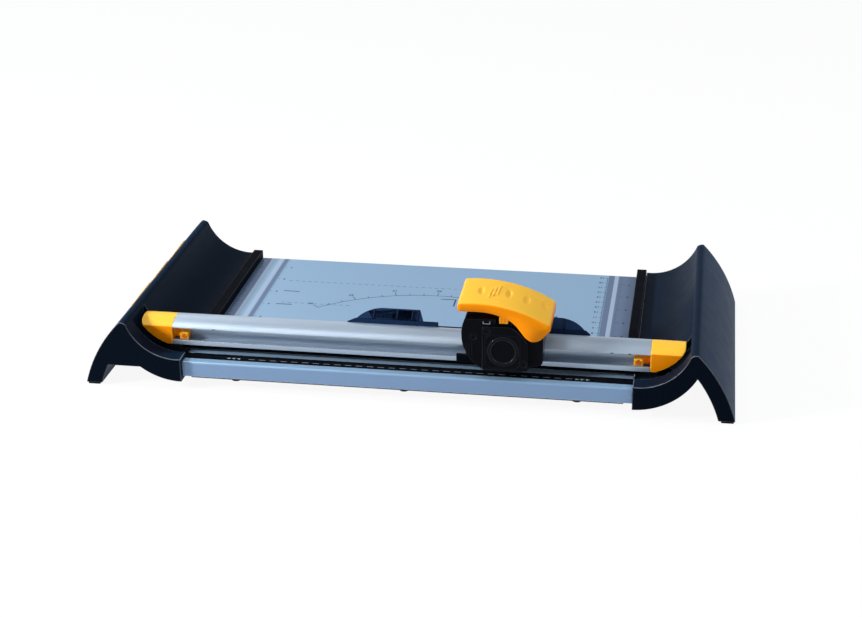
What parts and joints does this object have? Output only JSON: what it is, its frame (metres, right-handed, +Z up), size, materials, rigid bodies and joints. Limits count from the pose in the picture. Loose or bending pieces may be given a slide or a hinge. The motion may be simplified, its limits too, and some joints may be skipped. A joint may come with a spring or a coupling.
{
  "type": "rotary paper trimmer",
  "caption": "Desktop rotary paper trimmer: flat bed between curved end cheeks, sprung aluminium rail with paper clamp, sliding cutting head with a press lever and disc blade.",
  "frame": {"origin": "on the table under the middle of the trimmer", "axes": "+X to the right along the rail, +Y away from the user, +Z up"},
  "size_m": [0.4542, 0.215, 0.0791],
  "materials": {
    "cheek_black": "satin moulded",
    "bed_paint": "satin metallic",
    "pan_grey": "matt",
    "strip_black": "matt",
    "foot_rubber": "matt",
    "rail_aluminium": "brushed satin",
    "yellow_plastic": "gloss",
    "orange_screw": "satin",
    "smoked_plastic": "gloss",
    "head_black": "gloss",
    "steel": "bright",
    "blade_steel": "ground",
    "hub_white": "satin"
  },
  "bodies": {
    "base": {"bed_plate": "bed_paint", "base_pan": "pan_grey", "pan_screws": "steel", "cutting_strip": "strip_black", "left_cheek": "cheek_black", "right_cheek": "cheek_black", "left_fence": "strip_black", "right_fence": "strip_black", "base_screws": "steel", "front_tie_rod": "steel", "rear_tie_rod": "steel", "rubber_feet": "foot_rubber", "left_guide_post": "steel", "right_guide_post": "steel", "left_rail_spring": "steel", "right_rail_spring": "steel"},
    "rail": {"guide_rail": "rail_aluminium", "left_rail_cap": "yellow_plastic", "right_rail_cap": "yellow_plastic", "cap_screws": "orange_screw", "clamp_strip": "strip_black", "finger_guard": "smoked_plastic", "guard_screws": "steel"},
    "head": {"carriage_body": "head_black", "front_cover": "head_black", "cover_screws": "steel", "rail_key": "strip_black", "rail_shoe": "strip_black", "pivot_pin": "steel", "handle_spring": "steel"},
    "carrier": {"blade_carrier": "strip_black", "plunger": "yellow_plastic", "blade_axle": "steel", "axle_clip": "steel"},
    "blade": {"blade": "blade_steel", "blade_hub": "hub_white"},
    "handle": {"handle": "yellow_plastic"},
    "spare_1": {"spare_cartridge_1": "yellow_plastic"},
    "spare_2": {"spare_cartridge_2": "yellow_plastic"},
    "spare_3": {"spare_cartridge_3": "yellow_plastic"}
  },
  "joints": [
    {"name": "rail_press", "type": "slide", "parent": "base", "child": "rail", "axis": [0, 0, 1], "range_m": [-0.002, 0], "stiffness_N_per_m": 3000, "springref_m": 0.004, "deforming": ["left_rail_spring", "right_rail_spring"]},
    {"name": "head_slide", "type": "slide", "parent": "rail", "child": "head", "axis": [1, 0, 0], "range_m": [-0.214, 0.08]},
    {"name": "handle_press", "type": "hinge", "parent": "head", "child": "handle", "pos_m": [0.0915, -0.08255, 0.0566], "axis": [0, -1, 0], "range_deg": [0, 8.65], "stiffness_Nm_per_rad": 0.4, "springref_deg": -14.32, "deforming": ["handle_spring"]},
    {"name": "blade_drop", "type": "slide", "parent": "head", "child": "carrier", "axis": [0, 0, -1], "range_m": [0, 0.0034]},
    {"name": "blade_spin", "type": "hinge", "parent": "carrier", "child": "blade", "pos_m": [0.069, -0.09175, 0.0415], "axis": [0, 1, 0], "continuous": true},
    {"name": "spare_1_pull", "type": "slide", "parent": "base", "child": "spare_1", "axis": [-0.8674, 0, 0.4976], "range_m": [0, 0.03]},
    {"name": "spare_2_pull", "type": "slide", "parent": "base", "child": "spare_2", "axis": [-0.8674, 0, 0.4976], "range_m": [0, 0.03]},
    {"name": "spare_3_pull", "type": "slide", "parent": "base", "child": "spare_3", "axis": [-0.8674, 0, 0.4976], "range_m": [0, 0.03]}
  ],
  "couplings": [
    {"joint": "blade_drop", "follows": "handle_press", "m_per_rad": 0.0225}
  ]
}
